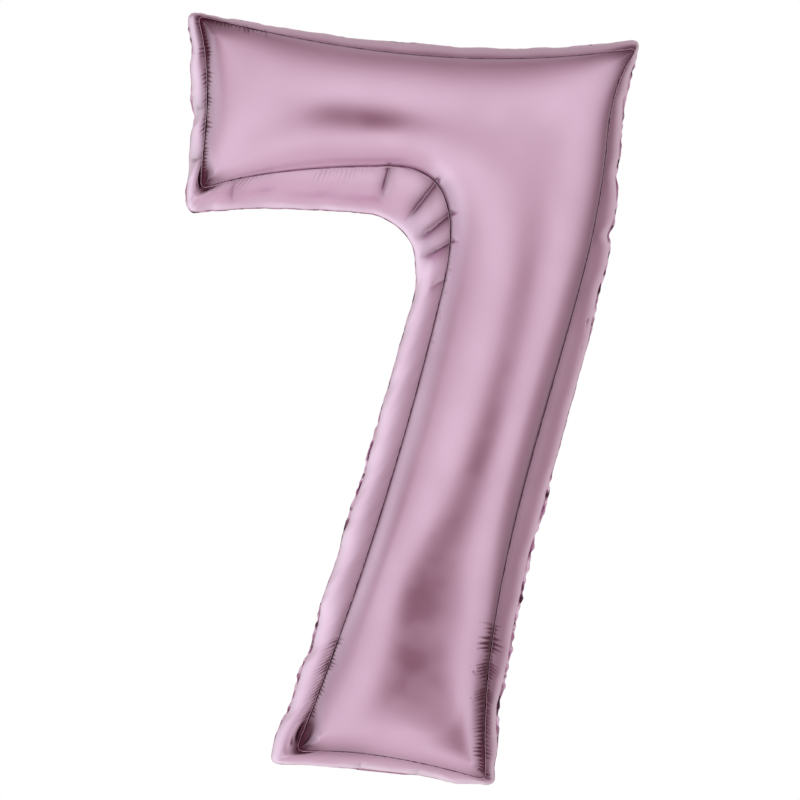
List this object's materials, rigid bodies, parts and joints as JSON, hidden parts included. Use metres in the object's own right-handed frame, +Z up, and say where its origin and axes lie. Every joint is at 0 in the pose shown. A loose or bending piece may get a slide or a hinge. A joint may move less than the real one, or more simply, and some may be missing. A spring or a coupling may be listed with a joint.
{
  "type": "foil number balloon",
  "caption": "Inflated foil balloon shaped as the figure seven, with welded side walls, a folding inflation tail with a self-sealing valve, and hang tabs.",
  "frame": {"origin": "middle of the foot's outer edge on the rim's plane, where the inflation tail begins and a ribbon is tied", "axes": "+X to the figure's right seen from the front, +Z up the figure, front face towards -Y"},
  "size_m": [0.5009, 0.1935, 0.8575],
  "materials": {
    "foil": "satin metallised film, mauve pink",
    "foil_seam": "welded double film, slightly ruffled",
    "valve_film": "clear thin film",
    "valve_ink": "thin printed release coat"
  },
  "bodies": {
    "envelope": {"front_panel": "foil", "back_panel": "foil", "front_gusset": "foil", "back_gusset": "foil", "front_seam": "foil_seam", "rim_seam": "foil_seam", "back_seam": "foil_seam", "valve_front_film": "valve_film", "valve_back_film": "valve_film", "valve_ink": "valve_ink"},
    "tail": {"tail_front_ply": "foil", "tail_weld": "foil_seam", "tail_back_ply": "foil", "tail_valve_front_film": "valve_film", "tail_valve_back_film": "valve_film"},
    "hang_tab_left": {"hang_tab_left": "foil_seam"},
    "hang_tab_right": {"hang_tab_right": "foil_seam"}
  },
  "joints": [
    {"name": "tail_fold", "type": "hinge", "parent": "envelope", "child": "tail", "pos_m": [0, 0, 0], "axis": [-0.9948, 0, 0.1022], "range_deg": [0, 180]},
    {"name": "hang_tab_left_fold", "type": "hinge", "parent": "envelope", "child": "hang_tab_left", "pos_m": [-0.15174, 0, 0.83304], "axis": [0.9846, 0, -0.175], "range_deg": [0, 180]},
    {"name": "hang_tab_right_fold", "type": "hinge", "parent": "envelope", "child": "hang_tab_right", "pos_m": [0.22683, 0, 0.80626], "axis": [0.9965, 0, 0.0841], "range_deg": [0, 180]}
  ]
}
